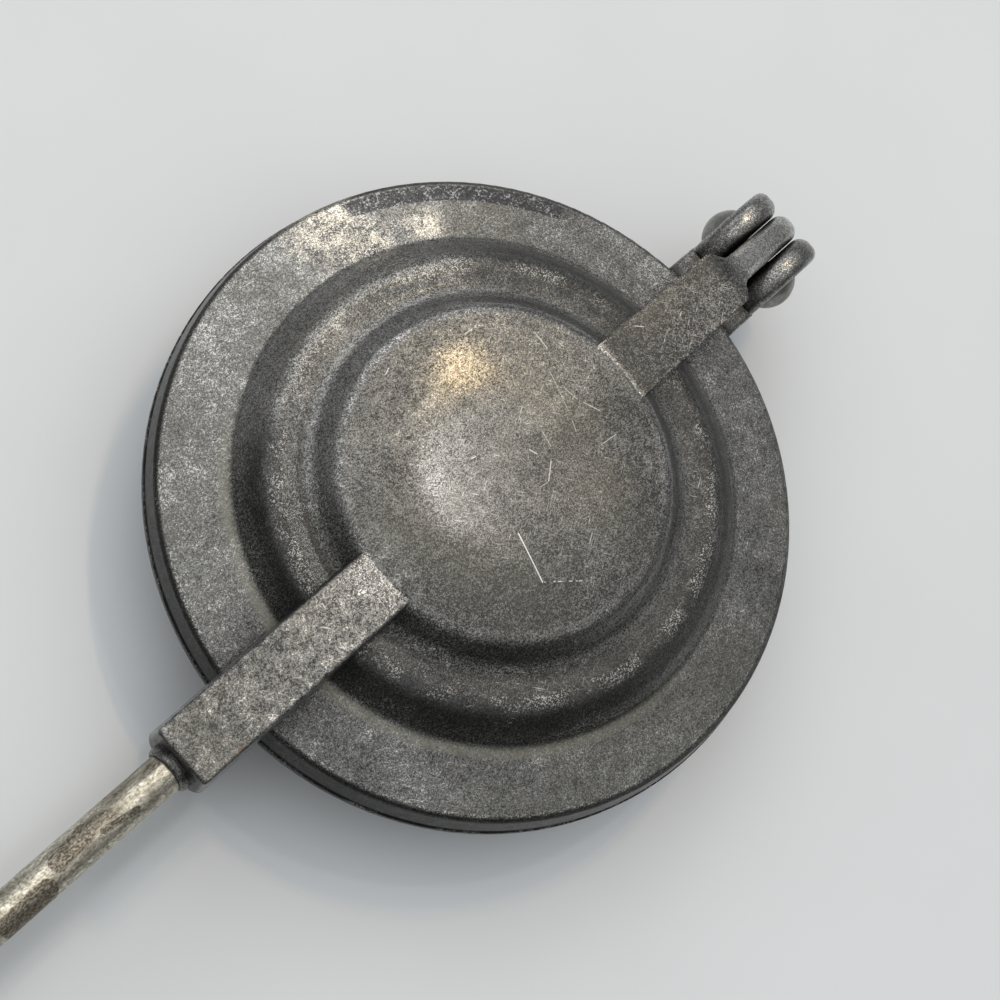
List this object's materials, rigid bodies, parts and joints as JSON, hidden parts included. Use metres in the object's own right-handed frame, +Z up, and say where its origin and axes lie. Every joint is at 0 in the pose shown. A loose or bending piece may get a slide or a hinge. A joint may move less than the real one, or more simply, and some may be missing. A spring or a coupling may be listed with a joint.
{
  "type": "pie iron",
  "caption": "Round hinged pie iron: stepped cast shells, paired plated rods, split turned handles with ferrules and a wire latch.",
  "frame": {"origin": "centre of the flat on the lower shell's dome, where the closed iron rests", "axes": "+X from the dome's centre towards the handles, with the hinge at -X and its pin along Y; +Z up, square to the parting plane between the shells"},
  "size_m": [0.3904, 0.11, 0.0366],
  "materials": {
    "cast_aluminium": "satin cast, aged and mottled",
    "plated_rod": "worn tin or nickel plating, tarnished",
    "rivet_steel": "satin",
    "ferrule_steel": "stamped, dulled plating",
    "fastener_steel": "dulled plating",
    "latch_wire": "drawn wire, dulled",
    "handle_wood": "stained turned hardwood, worn varnish"
  },
  "bodies": {
    "lower": {"lower_shell": "cast_aluminium", "hinge_rivet": "rivet_steel", "lower_rod": "plated_rod", "lower_ferrule": "ferrule_steel", "lower_ferrule_brad": "fastener_steel", "lower_handle": "handle_wood", "lower_end_plate": "ferrule_steel", "lower_cap_nut": "fastener_steel", "latch_stop": "fastener_steel"},
    "upper": {"upper_shell": "cast_aluminium", "upper_rod": "plated_rod", "upper_ferrule": "ferrule_steel", "upper_ferrule_brad": "fastener_steel", "upper_handle": "handle_wood", "upper_end_plate": "ferrule_steel", "upper_cap_nut": "fastener_steel"},
    "latch": {"latch_hook": "latch_wire"}
  },
  "joints": [
    {"name": "shell_hinge", "type": "hinge", "parent": "lower", "child": "upper", "pos_m": [-0.0693, 0, 0.0183], "axis": [0, -1, 0], "range_deg": [0, 180]},
    {"name": "latch_swing", "type": "hinge", "parent": "lower", "child": "latch", "pos_m": [0.1838, 0, 0.0093], "axis": [1, 0, 0], "range_deg": [0, 99.6]}
  ]
}
